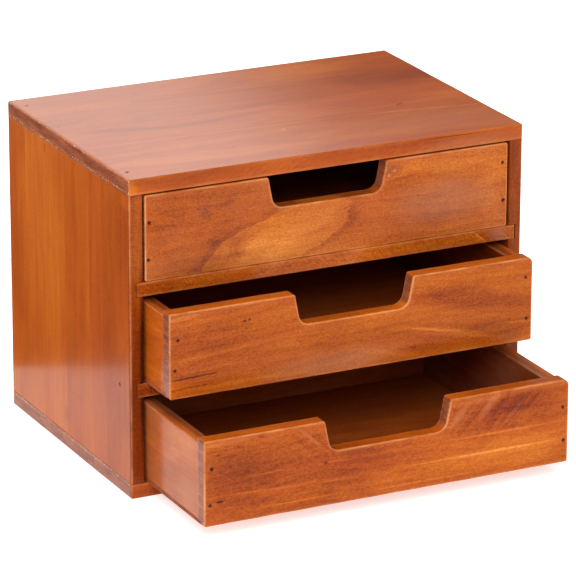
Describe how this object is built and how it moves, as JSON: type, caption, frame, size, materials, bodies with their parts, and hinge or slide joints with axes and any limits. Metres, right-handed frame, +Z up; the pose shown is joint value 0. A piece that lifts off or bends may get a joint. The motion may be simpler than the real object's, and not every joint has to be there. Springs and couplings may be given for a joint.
{
  "type": "desktop drawer organizer",
  "caption": "Low wooden chest for a desktop: a nailed case with housed shelves and stacked loose drawers that slide on wood and have finger cut-outs in their fronts.",
  "frame": {"origin": "centre of the case's underside, on the surface it stands on", "axes": "+Z up, +X to the right as seen from the front, the drawer fronts face -Y; at rest the middle and bottom drawers stand partly open, as in the picture"},
  "size_m": [0.33, 0.329, 0.2509],
  "materials": {
    "case_wood": "satin",
    "front_wood": "satin",
    "drawer_wood": "satin",
    "plywood": "matte",
    "brads": "darkened"
  },
  "bodies": {
    "case": {"top_board": "case_wood", "bottom_board": "case_wood", "left_side": "case_wood", "right_side": "case_wood", "upper_shelf": "case_wood", "lower_shelf": "case_wood", "back_panel": "plywood", "top_brads": "brads", "bottom_brads": "brads", "left_shelf_brads": "brads", "right_shelf_brads": "brads", "back_panel_brads": "brads"},
    "top_drawer": {"top_drawer_front": "front_wood", "top_drawer_left": "drawer_wood", "top_drawer_right": "drawer_wood", "top_drawer_back": "drawer_wood", "top_drawer_bottom": "plywood", "top_drawer_front_brads": "brads", "top_drawer_back_brads": "brads", "top_drawer_bottom_brads": "brads"},
    "middle_drawer": {"middle_drawer_front": "front_wood", "middle_drawer_left": "drawer_wood", "middle_drawer_right": "drawer_wood", "middle_drawer_back": "drawer_wood", "middle_drawer_bottom": "plywood", "middle_drawer_front_brads": "brads", "middle_drawer_back_brads": "brads", "middle_drawer_bottom_brads": "brads"},
    "bottom_drawer": {"bottom_drawer_front": "front_wood", "bottom_drawer_left": "drawer_wood", "bottom_drawer_right": "drawer_wood", "bottom_drawer_back": "drawer_wood", "bottom_drawer_bottom": "plywood", "bottom_drawer_front_brads": "brads", "bottom_drawer_back_brads": "brads", "bottom_drawer_bottom_brads": "brads"}
  },
  "joints": [
    {"name": "top_drawer_slide", "type": "slide", "parent": "case", "child": "top_drawer", "axis": [0, -1, 0], "range_m": [0, 0.175]},
    {"name": "middle_drawer_slide", "type": "slide", "parent": "case", "child": "middle_drawer", "axis": [0, -1, 0], "range_m": [-0.042, 0.133]},
    {"name": "bottom_drawer_slide", "type": "slide", "parent": "case", "child": "bottom_drawer", "axis": [0, -1, 0], "range_m": [-0.101, 0.074]}
  ]
}
